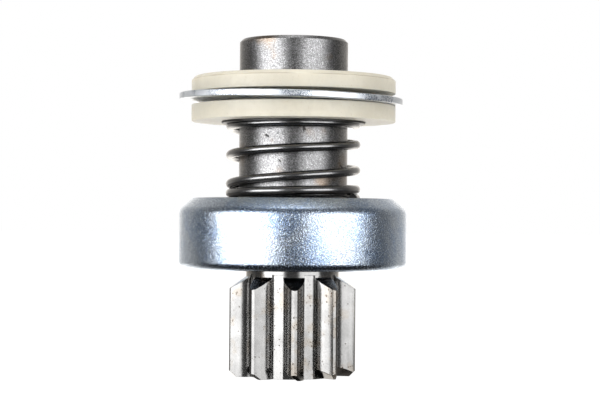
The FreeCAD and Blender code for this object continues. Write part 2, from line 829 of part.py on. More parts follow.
def make_snap_ring():
    body = new_body("snap_ring", snap_ring_base)
    inside = snap_groove_radius + dim("fitted_clearance")
    height = dim("snap_ring_thickness")
    opening = dim("snap_ring_opening")
    turned(
        body,
        [(inside, 0), (snap_ring_radius, 0), (snap_ring_radius, height), (inside, height)],
        360 - opening,
    )
    place = V(0, 0, snap_ring_base.number)
    body.Placement = FreeCAD.Placement(place, turned_about_axis(90 + opening.number / 2))
    return body


pieces = [
    make_pinion(),
    make_bush("front_bush", dim("bush_inset"), dim("front_bush_length")),
    make_bush(
        "rear_bush", race_top - dim("bush_inset") - dim("rear_bush_length"), dim("rear_bush_length")
    ),
    make_cover(),
    make_ring(
        "front_washer",
        front_washer_base,
        dim("front_washer_thickness"),
        cover_hole,
        cover_inside - dim("fitted_clearance"),
    ),
    make_half_ring("retaining_half_left", 90 + dim("half_ring_gap").number / 2),
    make_half_ring("retaining_half_right", -90 + dim("half_ring_gap").number / 2),
    make_ring(
        "roller_plate",
        roller_plate_base,
        dim("roller_plate_thickness"),
        cover_hole,
        roller_plate_radius,
    ),
    make_drive_sleeve(),
    make_engagement_spring(),
    make_ring("spring_seat", seat_base, dim("seat_thickness"), ring_bore, seat_radius),
    make_lower_shift_ring(),
    make_shift_washer(),
    make_upper_shift_ring(),
    make_snap_ring(),
]
for number in range(int(dim("roller_count").number)):
    angle = 360 / dim("roller_count").number * number
    pieces.append(make_roller(f"roller_{number + 1}", angle))
    pieces.append(make_plunger(f"roller_plunger_{number + 1}", angle))
    pieces.append(make_roller_spring(f"roller_spring_{number + 1}", angle))

doc.recompute()
failed = [o.Name for o in doc.Objects if "Invalid" in o.State or "Error" in o.State]
if failed:
    raise RuntimeError(f"not built: {', '.join(failed)}")
for piece in pieces:
    if piece.Shape.isNull() or not piece.Shape.isValid() or not piece.Shape.Solids:
        raise RuntimeError(f"no valid solid: {piece.Label}")

os.makedirs("parts", exist_ok=True)
for piece in pieces:
    piece.Shape.exportStep(f"parts/{piece.Label}.step")
    box = piece.Shape.BoundBox
    print(
        f"{piece.Label:22} solids {len(piece.Shape.Solids)} volume {piece.Shape.Volume:9.1f} "
        f"z {box.ZMin:7.2f} to {box.ZMax:7.2f} across {box.XLength:6.2f}"
    )
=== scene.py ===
"""Starter drive: a pinion on a roller one-way clutch with its sleeve, engagement spring and shift rings.
Turned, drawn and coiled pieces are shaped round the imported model, and every piece gets its finish."""

import math

import bpy
from mathutils import Matrix, Vector


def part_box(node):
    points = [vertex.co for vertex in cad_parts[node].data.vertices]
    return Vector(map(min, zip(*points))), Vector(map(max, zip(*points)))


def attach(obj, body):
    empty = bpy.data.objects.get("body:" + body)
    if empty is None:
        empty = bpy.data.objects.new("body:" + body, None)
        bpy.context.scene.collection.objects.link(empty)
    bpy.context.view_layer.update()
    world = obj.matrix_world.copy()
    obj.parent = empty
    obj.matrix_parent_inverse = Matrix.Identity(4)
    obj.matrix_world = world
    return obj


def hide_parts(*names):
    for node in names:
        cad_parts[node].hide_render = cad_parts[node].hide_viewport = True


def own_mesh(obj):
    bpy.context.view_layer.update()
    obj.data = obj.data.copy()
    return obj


bl_info = {
    "name": "Starter drive",
    "version": (1, 0, 0),
    "blender": (4, 5, 0),
    "location": "View3D > Sidebar > Starter drive",
    "description": "Shapes and finishes a starter drive round its packed model",
    "category": "Object",
}

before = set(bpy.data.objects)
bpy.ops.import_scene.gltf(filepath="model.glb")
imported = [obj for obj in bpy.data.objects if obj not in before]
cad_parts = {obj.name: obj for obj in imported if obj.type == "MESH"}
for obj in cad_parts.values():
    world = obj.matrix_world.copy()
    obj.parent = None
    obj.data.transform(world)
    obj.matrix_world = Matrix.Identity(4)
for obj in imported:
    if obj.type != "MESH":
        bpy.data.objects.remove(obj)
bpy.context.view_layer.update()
MM = 0.001
FULL_TURN = 2 * math.pi

# Studio: what lights the part, what its gloss shows, and the floor
ROOM_FILL = 0.15
ROOM_SKY = 1.2
ROOM_DARK = 0.13
ROOM_SIDE_TONE = (1.0, 0.955, 0.89)
ROOM_SIDES = 0.45
ROOM_BACK = 1.2
ROOM_CEILING = 2.2
ROOM_UNDER = 0.02
ROOM_REAR_FLOOR = 1.3
TONE_SPAN = (0.0, 0.5)
SIDES_SPAN = (0.2, 0.8)
BACK_SPAN = (0.85, 1.0)
REAR_FLOOR_SPAN = (0.6, 0.8)
CEILING_SPAN = (0.93, 0.99)
UNDER_SPAN = (-0.3, -0.15)
FLOOR_SIZE = 6.0
FLOOR_PAINT = (0.9, 0.9, 0.9, 1)
FLOOR_SHARE = 0.85
FLOOR_GLOW = 1.15
BOX_DISTANCE = 0.6
BOX_TALL = 0.30
BOX_FOOT = 0.17
BOX_BLUR = 0.02
BOXES = (("left_box", -48.0, 0.62, 4.2), ("right_box", 43.5, 0.58, 2.7))

# Camera: place in metres, lens and film in millimetres, turns in degrees
CAMERA_PLACE = (0, -0.391, 0.0376)
CAMERA_LENS = 100
CAMERA_FILM = 36
CAMERA_CLIP = 0.01
CAMERA_TURNS = (("Z", -0.244), ("X", 90.516), ("Z", 0.418))

# Meshes: the distance that joins two vertices, and angles in degrees
JOINED = MM / 1000
FLAT = 0.05
TURNED_SMOOTH = 35
WIRE_SMOOTH = 40
MACHINED_SMOOTH = 12
TOOTH_EDGES = 50
SLEEVE_EDGES = 40


def low(node, axis):
    """The lowest coordinate of a machined node along an axis."""
    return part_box(node)[0][axis]


def high(node, axis):
    """The highest coordinate of a machined node along an axis."""
    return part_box(node)[1][axis]


def length(name, description, default):
    """A size in metres that the panel can show."""
    return bpy.props.FloatProperty(
        name=name, description=description, default=default, unit="LENGTH", precision=5
    )


def colour(name, description, default):
    """A colour that the panel can show."""
    return bpy.props.FloatVectorProperty(
        name=name, description=description, default=default, size=3, min=0, max=1, subtype="COLOR"
    )


class DriveSizes(bpy.types.PropertyGroup):
    """Sizes of the turned, drawn and coiled pieces"""

    turn_steps: bpy.props.IntProperty(
        name="Steps in a turn", description="Faces round a turned piece", default=192
    )
    bend_steps: bpy.props.IntProperty(
        name="Steps in a bend", description="Faces across a rounded edge", default=6
    )
    broken_edge: length("Broken edge", "Rounding of an edge that is only deburred", 0.12 * MM)
    cover_sheet: length("Cover sheet", "Thickness of the drawn cover", 1.2 * MM)
    cover_corner: length("Cover corner", "Outside radius of the drawn corner", 1.7 * MM)
    cover_hole: length("Cover hole", "Radius of the hole for the neck", 11.2 * MM)
    crimp_reach: length("Crimp reach", "How far the crimped lip comes in", 3.2 * MM)
    crimp_drop: length("Crimp drop", "Height of the crimped lip", 2.8 * MM)
    crimp_bend: length("Crimp bend", "Outside radius where the lip bends", 2.6 * MM)
    sleeve_radius: length("Sleeve radius", "Outside of the sleeve", 12.7 * MM)
    turned_edge: length("Turned edge", "Chamfer that the sleeve was turned with", 0.4 * MM)
    free_end_edge: length("Free end edge", "The same chamfer after use", 0.7 * MM)
    ring_edge: length("Ring edge", "Chamfer on top of the upper ring", 0.85 * MM)
    ring_bore: length("Ring bore", "Radius of the bore of the shift rings", 12.8 * MM)
    hub_radius: length("Hub", "Radius of the bosses between the rings", 15.6 * MM)
    ring_thickness: length("Ring thickness", "Both nylon rings", 3.8 * MM)
    snap_pocket: length("Snap ring pocket", "Radius of the counterbore in the upper ring", 15.0 * MM)
    snap_pocket_depth: length("Pocket depth", "Depth of that counterbore", 1.5 * MM)
    washer_bore: length("Washer bore", "Radius of the bore of the loose washer", 16.7 * MM)
    washer_rim: length("Washer rim", "Radius of the rim of the loose washer", 26.15 * MM)
    washer_thickness: length("Washer thickness", "Loose washer", 1.5 * MM)
    washer_offset: length("Washer offset", "How far the loose washer hangs to one side", 0.6 * MM)
    washer_tilt: bpy.props.FloatProperty(
        name="Washer tilt", description="Higher on that side", default=math.radians(1.25), subtype="ANGLE"
    )
    washer_nod: bpy.props.FloatProperty(
        name="Washer nod", description="Lower at the front", default=math.radians(0.4), subtype="ANGLE"
    )
    wire: length("Spring wire", "Radius of the wire of the engagement spring", 1.0 * MM)
    wire_steps: bpy.props.IntProperty(
        name="Steps round the wire", description="Faces round the spring's wire", default=24
    )
    coil_steps: bpy.props.IntProperty(
        name="Steps in a coil", description="Faces along one turn of the spring", default=48
    )
    coil_start: bpy.props.FloatProperty(
        name="Coil start", description="Where the lower end lies", default=math.radians(-20), subtype="ANGLE"
    )
    closed_pitch: length("Closed pitch", "Pitch of the closed lower turns", 2.08 * MM)
    closed_turns: bpy.props.FloatProperty(
        name="Closed turns", description="Turns of the lower end", default=1.55
    )
    open_turns: bpy.props.FloatProperty(name="Open turns", description="Turns that work", default=2.0)
    end_turns: bpy.props.FloatProperty(name="End turns", description="Turns of the upper end", default=0.53)
    end_rise: length("End rise", "Rise of the closed upper turn", 0.55 * MM)
    lean: length("Lean", "How much the third turn leans", 0.8 * MM)
    shift_travel: length("Shift travel", "How far the sliding rings press the spring", 8.0 * MM)
    lean_place: bpy.props.FloatProperty(
        name="Lean place", description="Where it leans, as a share of the open turns", default=0.75
    )
    lean_spread: bpy.props.FloatProperty(
        name="Lean spread", description="How widely it leans, as a share", default=0.16
    )


class DriveColours(bpy.types.PropertyGroup):
    """Colours of the finishes"""

    nylon: colour("Nylon", "Shift rings", (0.59, 0.555, 0.46))
    zinc: colour("Zinc", "Cover and loose washer", (0.62, 0.70, 0.82))
    # The washer's near-white is partly zinc and partly painted highlight, for the light its rim catches
    washer: colour("Washer", "Rim of the loose washer", (0.88, 0.92, 0.97))
    zinc_blue: colour("Zinc passivation", "Bluer places of the zinc", (0.40, 0.53, 0.76))
    sleeve: colour("Sleeve", "Hardened sleeve", (0.30, 0.30, 0.305))
    # The seat's near-black is painted shade: it draws the dark gap line between the lower ring and the
    # spring
    seat: colour("Spring seat", "Black washer on the spring", (0.08, 0.08, 0.08))
    spring: colour("Spring", "Oiled spring wire", (0.26, 0.26, 0.265))
    pinion: colour("Pinion", "Ground teeth", (0.27, 0.268, 0.265))
    rust: colour("Rust", "Specks on the teeth", (0.12, 0.07, 0.03))
    bearing: colour("Bearing steel", "Rollers, washers and plates", (0.50, 0.50, 0.51))
    bronze: colour("Bronze", "Bushes", (0.55, 0.36, 0.17))


# Finishes
class Amount:
    """A socket of a node tree, written with as a number."""

    def __init__(self, shading, socket):
        self.shading = shading
        self.socket = socket

    def worked(self, operation, *amounts):
        return self.shading.node("ShaderNodeMath", {"operation": operation}, dict(enumerate(amounts)))

    def __add__(self, other):
        return self.worked("ADD", self, other)

    def __sub__(self, other):
        return self.worked("SUBTRACT", self, other)

    def __rsub__(self, other):
        return self.worked("SUBTRACT", other, self)

    def __mul__(self, other):
        return self.worked("MULTIPLY", self, other)

    __radd__ = __add__
    __rmul__ = __mul__

    def step(self, start, end):
        """0 below start, 1 above end, and smooth between them."""
        ends = {"Value": self, "From Min": start, "From Max": end}
        return self.shading.node("ShaderNodeMapRange", {"interpolation_type": "SMOOTHSTEP"}, ends)


class Shading:
    """The node tree of a material or world, and the one way that nodes are added to it."""

    def __init__(self, owner):
        self.owner = owner
        owner.use_nodes = True
        self.tree = owner.node_tree
        self.tree.nodes.clear()

    def node(self, kind, settings=None, values=None, output=0):
        made = self.tree.nodes.new(kind)
        for name, value in (settings or {}).items():
            setattr(made, name, value)
        for name, value in (values or {}).items():
            if isinstance(value, Amount):
                self.tree.links.new(value.socket, made.inputs[name])
            else:
                made.inputs[name].default_value = value
        return Amount(self, made.outputs[output]) if len(made.outputs) else None

    def mix(self, share, first, second):
        """Colour between first and second, as share goes from 0 to 1."""
        tones = {0: share, 6: opaque(first), 7: opaque(second)}
        return self.node("ShaderNodeMix", {"data_type": "RGBA"}, tones, 2)


class Finish(Shading):
    """A material of one piece or kind of piece."""

    def __init__(self, name, constants):
        super().__init__(bpy.data.materials.new(name))
        surface = self.node("ShaderNodeBsdfPrincipled", {}, constants)
        self.shader = surface.socket.node
        self.node("ShaderNodeOutputMaterial", {}, {"Surface": surface})
        self.place = self.node("ShaderNodeTexCoord", output="Object")

    @property
    def material(self):
        return self.owner

    def feed(self, socket, value):
        self.tree.links.new(value.socket, self.shader.inputs[socket])

    def noise(self, scale, detail=2.0, stretch=(1, 1, 1), roughness=0.5, distortion=0.0):
        """Noise with so many grains to a metre, drawn out along an axis by a small stretch."""
        place = self.node("ShaderNodeMapping", {}, {"Vector": self.place, "Scale": stretch})
        values = {"Vector": place, "Scale": scale, "Detail": detail, "Roughness": roughness}
        return self.node("ShaderNodeTexNoise", {}, {**values, "Distortion": distortion})

    def along(self, axis):
        """How far a place lies along X, Y or Z."""
        return self.node("ShaderNodeSeparateXYZ", {}, {"Vector": self.place}, axis)

    def cells(self, scale):
        """How far the nearest of so many points to a metre lies."""
        values = {"Vector": self.place, "Scale": scale}
        return self.node("ShaderNodeTexVoronoi", {}, values, "Distance")

    def bump(self, height, distance, strength):
        """Raises the surface by up to so many metres, as height goes to 1."""
        values = {"Height": height, "Distance": distance, "Strength": strength}
        self.feed("Normal", self.node("ShaderNodeBump", {}, values))


def opaque(tone):
    """A colour with its alpha, or a socket as it is."""
    return tone if isinstance(tone, Amount) else (*tone[:3], 1.0)


def shade(tone, factor):
    """A colour made lighter or darker."""
    return tuple(min(1.0, part * factor) for part in tone[:3])


def nylon_finish(colours, edge):
    """Moulded nylon, turned on its faces, with oily dirt in the pores and a dark brown line along one edge.
    """
    finish = Finish(
        "nylon",
        {
            "Subsurface Weight": 0.4,
            "Subsurface Radius": (0.0030, 0.0026, 0.0019),
            "Subsurface Scale": 1.0,
            "IOR": 1.53,
        },
    )
    tone = colours.nylon
    cloud = finish.noise(90, 3)
    mottle = finish.noise(700, 4)
    pores = finish.noise(2600, 2).step(0.62, 0.74)
    base = finish.mix(cloud.step(0.3, 0.7), shade(tone, 1.06), shade(tone, 0.95))
    base = finish.mix(mottle.step(0.35, 0.75) * 0.35, base, shade(tone, 0.86))
    base = finish.mix(pores * 0.35, base, (0.42, 0.34, 0.22))
    # A dark brown line, broken by clouds, along the lower edge of the upper ring's top chamfer
    z = finish.along("Z")
    line = z.step(edge - 0.10 * MM, edge - 0.02 * MM) * (1 - z.step(edge + 0.02 * MM, edge + 0.10 * MM))
    base = finish.mix(line * cloud.step(0.38, 0.55) * 0.7, base, (0.22, 0.16, 0.10))
    finish.feed("Base Color", base)
    finish.feed("Roughness", 0.34 + mottle * 0.2)
    turning = finish.noise(900, 2, (1, 1, 9))
    finish.bump(mottle * 0.6 + turning * 0.5 - pores, 0.00006, 0.35)
    return finish.material


def zinc_finish(colours):
    """Zinc plating with blue passivation: bright, cloudy, and rough in fine speckles."""
    finish = Finish("blue_zinc_plate", {"Metallic": 1.0})
    cloud = finish.noise(110, 3, distortion=0.6)
    grain = finish.noise(4400, 1)
    speck = finish.noise(3600, 1)
    tone = finish.mix(cloud.step(0.35, 0.72), colours.zinc, colours.zinc_blue)
    tone = finish.mix(grain.step(0.46, 0.58) * 0.6, tone, shade(colours.zinc_blue, 0.45))
    tone = finish.mix(speck.step(0.52, 0.62) * 0.7, tone, shade(colours.zinc, 1.3))
    finish.feed("Base Color", tone)
    finish.feed("Roughness", 0.18 + grain * 0.14)
    finish.bump(grain + speck * 0.8, 0.00005, 1.0)
    return finish.material


def washer_finish(colours):
    """Thin zinc on a stamped washer, in a near-white tone that is partly painted highlight: dull and bright,
    with bluer specks in patches.
    """
    finish = Finish("blue_zinc_washer", {"Metallic": 1.0})
    patch = finish.noise(170, 2).step(0.50, 0.62)
    speck = finish.noise(4200, 1).step(0.48, 0.58)
    grain = finish.noise(3600, 2)
    # Painted highlight: the rim's base tone is raised close to white, lighter than the cover's zinc
    tone = finish.mix(speck * patch * 0.9, colours.washer, shade(colours.zinc_blue, 0.5))
    finish.feed("Base Color", tone)
    finish.feed("Roughness", 0.5 - patch * 0.15)
    finish.bump(grain, 0.00004, 1.0)
    return finish.material


def sleeve_finish(colours):
    """Hardened steel, dark and grainy, with sliding marks round it and oil stain."""
    finish = Finish("hardened_steel", {"Metallic": 1.0})
    grain = finish.noise(4200, 2, roughness=0.6)
    cloud = finish.noise(160, 3, distortion=0.4)
    slide = finish.noise(420, 3, (0.25, 0.25, 3.5)).step(0.55, 0.75)
    scratch = finish.noise(420, 4, (1, 1, 0.6), distortion=1.5).step(0.68, 0.70)
    oil = finish.noise(120, 3).step(0.56, 0.72)
    tone = finish.mix(cloud.step(0.3, 0.7), shade(colours.sleeve, 1.15), shade(colours.sleeve, 0.8))
    tone = finish.mix(grain.step(0.40, 0.58), shade(colours.sleeve, 0.45), tone)
    tone = finish.mix(grain.step(0.58, 0.72), tone, shade(colours.sleeve, 1.8))
    tone = finish.mix(slide * 0.25, tone, shade(colours.sleeve, 1.5))
    tone = finish.mix(oil * 0.5, tone, (0.23, 0.15, 0.08))
    tone = finish.mix(scratch * 0.8, tone, (0.03, 0.03, 0.03))
    finish.feed("Base Color", tone)
    finish.feed("Roughness", 0.24 + grain * 0.16 + scratch * 0.2)
    finish.bump(grain - scratch * 0.8, 0.00003, 1.0)
    return finish.material


def spring_finish(colours, name, cut=None):
    """Black oiled spring wire with faint drawing marks, blacker where it is cut off."""
    finish = Finish(name, {"Metallic": 1.0})
    grain = finish.noise(1900, 3)
    worn = finish.noise(300, 4).step(0.60, 0.75)
    tone = finish.mix(worn * 0.5, colours.spring, shade(colours.spring, 1.6))
    if cut:
        start, foot, wire = cut
        x, y, z = (finish.along(axis) for axis in "XYZ")
        past = y * math.cos(start) - x * math.sin(start)
        end = (1 - past.step(0.02 * MM, 0.1 * MM)) * (1 - z.step(foot + wire, foot + wire + 0.05 * MM))
        tone = finish.mix(end * x.step(0, MM), tone, (0.01, 0.01, 0.01))
    finish.feed("Base Color", tone)
    finish.feed("Roughness", 0.20 + grain * 0.10)
    finish.bump(grain, 0.00002, 0.3)
    return finish.material


def tooth_finish(colours):
    """Ground steel with brown specks of rust and oil, darker where the grease sat."""
    finish = Finish("ground_teeth", {"Metallic": 1.0})
    lines = finish.noise(1100, 1, (1, 1, 0.02))
    cloud = finish.noise(170, 4, distortion=0.5)
    grain = finish.noise(2600, 3)
    patch = finish.noise(230, 3).step(0.5, 0.66)
    specks = finish.noise(1500, 3, roughness=0.7).step(0.58, 0.66) * patch
    pits = finish.cells(1500).step(0.30, 0.14) * finish.noise(420, 2).step(0.56, 0.64)
    tone = finish.mix(cloud.step(0.35, 0.75), colours.pinion, shade(colours.pinion, 0.72))
    tone = finish.mix(grain.step(0.5, 0.75) * 0.2, tone, shade(colours.pinion, 0.5))
    tone = finish.mix(patch * 0.3, tone, (0.20, 0.15, 0.09))
    tone = finish.mix(specks * 0.85, tone, colours.rust)
    tone = finish.mix(pits * 0.8, tone, shade(colours.rust, 0.35))
    finish.feed("Base Color", tone)
    finish.feed("Metallic", 1 - specks * 0.6)
    finish.feed("Roughness", 0.13 + lines * 0.12 + grain * 0.04 + specks * 0.35)
    finish.bump(lines * 0.5 - pits * 1.5 + specks * 0.6, 0.000015, 0.6)
    return finish.material


def turned_finish(name, tone, roughness):
    """Plain machined metal: turning marks, clouds and a little oil."""
    finish = Finish(name, {"Metallic": 1.0})
    cloud = finish.noise(200, 3)
    grain = finish.noise(2200, 3)
    marks = finish.noise(1300, 2, (1, 1, 6))
    oil = finish.noise(350, 3).step(0.6, 0.75)
    mixed = finish.mix(cloud.step(0.35, 0.7), shade(tone, 1.1), shade(tone, 0.8))
    mixed = finish.mix(oil * 0.25, mixed, shade(tone, 0.45))
    finish.feed("Base Color", mixed)
    finish.feed("Roughness", roughness + grain * 0.15)
    finish.bump(marks + grain * 0.5, 0.00002, 0.4)
    return finish.material


# Modelling steps
def select_only(piece):
    """Makes piece the one selected and active object."""
    bpy.ops.object.select_all(action="DESELECT")
    piece.select_set(True)
    bpy.context.view_layer.objects.active = piece


def edit(piece):
    """Opens piece for editing with all of it selected."""
    select_only(piece)
    bpy.ops.object.mode_set(mode="EDIT")
    bpy.ops.mesh.select_all(action="SELECT")


def finish_edit():
    """Closes the piece that is being edited."""
    bpy.ops.object.mode_set(mode="OBJECT")


def smooth(piece, degrees):
    """Smooths the shading over edges that turn by less than so many degrees."""
    select_only(piece)
    bpy.ops.object.shade_smooth_by_angle(angle=math.radians(degrees))


def dress(piece, body, node, material):
    """Gives piece its material and body, and lets it stand for its machined node."""
    piece.data.materials.clear()
    piece.data.materials.append(material)
    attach(piece, body)
    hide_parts(node)
    return piece


def bent(corners, steps):
    """A profile of corners (radius, height, bend) as points, each bend drawn as an arc."""
    points = []
    for index, (radius, height, bend) in enumerate(corners):
        corner = Vector((radius, height))
        before = Vector(corners[index - 1][:2]) - corner
        after = Vector(corners[(index + 1) % len(corners)][:2]) - corner
        if not bend:
            points.append(corner)
            continue
        half = before.angle(after) / 2
        centre = corner + (before.normalized() + after.normalized()).normalized() * (bend / math.sin(half))
        start = corner + before.normalized() * (bend / math.tan(half)) - centre
        sweep = start.angle_signed(corner + after.normalized() * (bend / math.tan(half)) - centre)
        for step in range(steps + 1):
            turned = start.copy()
            turned.rotate(Matrix.Rotation(-sweep * step / steps, 2))
            points.append(centre + turned)
    return points


def turn(name, corners):
    """A turned piece: a vertex is drawn along the profile and spun round the axis."""
    sizes = bpy.context.scene.drive_sizes
    points = bent(corners, sizes.bend_steps)
    bpy.ops.object.select_all(action="DESELECT")
    bpy.ops.mesh.primitive_plane_add(size=MM)
    piece = bpy.context.object
    piece.name = name
    edit(piece)
    bpy.ops.mesh.merge(type="CENTER")
    bpy.ops.transform.translate(value=(points[0].x, 0, points[0].y))
    for point, after in zip(points, points[1:] + points[:1]):
        move = (after.x - point.x, 0, after.y - point.y)
        bpy.ops.mesh.extrude_region_move(TRANSFORM_OT_translate={"value": move})
    bpy.ops.mesh.select_all(action="SELECT")
    bpy.ops.mesh.remove_doubles(threshold=JOINED)
    bpy.ops.mesh.spin(steps=sizes.turn_steps, angle=FULL_TURN, center=(0, 0, 0), axis=(0, 0, 1))
    bpy.ops.mesh.select_all(action="SELECT")
    bpy.ops.mesh.remove_doubles(threshold=JOINED)
    bpy.ops.mesh.normals_make_consistent(inside=False)
    finish_edit()
    smooth(piece, TURNED_SMOOTH)
    return piece


def joined_copy(name, node):
    """A copy of a machined node with its faces joined up."""
    piece = bpy.data.objects.new(name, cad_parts[node].data.copy())
    bpy.context.collection.objects.link(piece)
    select_only(piece)
    bpy.ops.mesh.customdata_custom_splitnormals_clear()
    edit(piece)
    bpy.ops.mesh.remove_doubles(threshold=JOINED)
    bpy.ops.mesh.dissolve_limited(angle_limit=math.radians(FLAT))
    finish_edit()
    return piece


def break_edges(piece, edge, degrees):
    """Rounds every edge that turns by more than so many degrees."""
    select_only(piece)
    bevel = piece.modifiers.new("Edges", "BEVEL")
    bevel.width = edge
    bevel.segments = 2
    bevel.limit_method = "ANGLE"
    bevel.angle_limit = math.radians(degrees)
    bpy.ops.object.modifier_apply(modifier=bevel.name)
    smooth(piece, MACHINED_SMOOTH)


def edit_circle(piece, radius, height, reach):
    """Edits the circle of vertices that lies within reach of a radius and height."""
    edit(piece)
    bpy.ops.mesh.select_all(action="DESELECT")
    bpy.ops.object.mode_set(mode="OBJECT")
    for vertex in piece.data.vertices:
        away = math.hypot(vertex.co.x, vertex.co.y) - radius, vertex.co.z - height
        vertex.select = math.hypot(*away) < reach
    bpy.ops.object.mode_set(mode="EDIT")


class OBJECT_OT_drive_pinion(bpy.types.Operator):
    """Breaks the edges of the nine ground teeth and finishes the pinion"""

    bl_idname = "object.drive_pinion"
    bl_label = "Pinion"

    def execute(self, context):
        sizes = context.scene.drive_sizes
        piece = joined_copy("toothed_pinion", "pinion")
        break_edges(piece, sizes.broken_edge, TOOTH_EDGES)
        material = tooth_finish(context.scene.drive_colours)
        dress(piece, "pinion", "pinion", material)
        return {"FINISHED"}


class OBJECT_OT_drive_cover(bpy.types.Operator):
    """Turns the drawn cover with its crimped lip"""

    bl_idname = "object.drive_cover"
    bl_label = "Clutch cover"

    def execute(self, context):
        sizes = context.scene.drive_sizes
        base, top = low("clutch_cover", 2), high("clutch_cover", 2)
        outside = high("clutch_cover", 0)
        sheet, edge = sizes.cover_sheet, sizes.broken_edge
        slope = math.hypot(sizes.crimp_reach, sizes.crimp_drop)
        bend_height = top - sizes.crimp_drop
        lip = outside - sizes.crimp_reach
        piece = turn(
            "drawn_cover",
            [
                (sizes.cover_hole, base, edge),
                (outside, base, sizes.cover_corner),
                (outside, bend_height, sizes.crimp_bend),
                (lip, top, edge),
                (lip - sheet * sizes.crimp_drop / slope, top - sheet * sizes.crimp_reach / slope, edge),
                (outside - sheet, bend_height - sheet * (slope - sizes.crimp_drop) / sizes.crimp_reach, 0),
                (outside - sheet, base + sheet, 0),
                (sizes.cover_hole, base + sheet, edge),
            ],
        )
        material = zinc_finish(context.scene.drive_colours)
        dress(piece, "clutch", "clutch_cover", material)
        return {"FINISHED"}


class OBJECT_OT_drive_sleeve(bpy.types.Operator):
    """Breaks the edges of the splined sleeve and finishes it"""

    bl_idname = "object.drive_sleeve"
    bl_label = "Sleeve"

    def execute(self, context):
        sizes = context.scene.drive_sizes
        piece = joined_copy("splined_sleeve", "drive_sleeve")
        top, wider = high("drive_sleeve", 2), sizes.free_end_edge - sizes.turned_edge
        rim = sizes.sleeve_radius - sizes.turned_edge
        edit_circle(piece, sizes.sleeve_radius, top - sizes.turned_edge, sizes.turned_edge / 4)
        bpy.ops.transform.translate(value=(0, 0, -wider))
        finish_edit()
        edit_circle(piece, rim, top, sizes.turned_edge / 4)
        share = (rim - wider) / rim
        bpy.ops.transform.resize(value=(share, share, 1), center_override=(0, 0, top))
        finish_edit()
        break_edges(piece, sizes.broken_edge, SLEEVE_EDGES)
        material = sleeve_finish(context.scene.drive_colours)
        dress(piece, "clutch", "drive_sleeve", material)
        return {"FINISHED"}


class OBJECT_OT_drive_spring(bpy.types.Operator):
    """Draws the engagement spring turn by turn and grinds its ends flat"""

    bl_idname = "object.drive_spring"
    bl_label = "Engagement spring"

    def rise(self, sizes, turns, height):
        """How high the wire lies above its foot after so many turns."""
        closed_rise = sizes.closed_pitch * sizes.closed_turns
        if turns <= sizes.closed_turns:
            return closed_rise * turns / sizes.closed_turns
        if turns <= sizes.closed_turns + sizes.open_turns:
            share = (turns - sizes.closed_turns) / sizes.open_turns
            away = (share - sizes.lean_place) / sizes.lean_spread
            lean = sizes.lean * math.exp(-(away**2))
            return closed_rise + (height - sizes.end_rise - closed_rise) * share - lean
        ended = turns - sizes.closed_turns - sizes.open_turns
        return height - sizes.end_rise + sizes.end_rise * ended / sizes.end_turns

    def execute(self, context):
        sizes = context.scene.drive_sizes
        foot = high("clutch_cover", 2)
        head = low("spring_seat", 2)
        middle = high("engagement_spring", 0) - sizes.wire
        turns = sizes.closed_turns + sizes.open_turns + sizes.end_turns
        steps = round(turns * sizes.coil_steps)
        bpy.ops.object.select_all(action="DESELECT")
        bpy.ops.mesh.primitive_circle_add(
            vertices=sizes.wire_steps,
            radius=sizes.wire,
            fill_type="NGON",
            location=(middle, 0, foot),
            rotation=(math.pi / 2, 0, 0),
        )
        piece = context.object
        piece.name = "coiled_spring"
        bpy.ops.object.transform_apply(location=True, rotation=True, scale=True)
        edit(piece)
        bpy.ops.transform.rotate(value=-sizes.coil_start, orient_axis="Z", center_override=(0, 0, 0))
        angle = FULL_TURN * turns / steps
        height = 0.0
        for step in range(1, steps + 1):
            after = self.rise(sizes, turns * step / steps, head - foot)
            bpy.ops.mesh.extrude_region()
            bpy.ops.transform.rotate(value=-angle, orient_axis="Z", center_override=(0, 0, 0))
            bpy.ops.transform.translate(value=(0, 0, after - height))
            height = after
        for level, way in ((foot, -1), (head, 1)):
            bpy.ops.mesh.select_all(action="SELECT")
            bpy.ops.mesh.bisect(
                plane_co=(0, 0, level), plane_no=(0, 0, way), use_fill=True, clear_outer=True
            )
        bpy.ops.mesh.select_all(action="SELECT")
        bpy.ops.mesh.normals_make_consistent(inside=False)
        finish_edit()
        smooth(piece, WIRE_SMOOTH)
        cut = sizes.coil_start, foot, sizes.wire
        material = spring_finish(context.scene.drive_colours, "oiled_wire", cut)
        dress(piece, "clutch", "engagement_spring", material)
        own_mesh(piece)
        return {"FINISHED"}


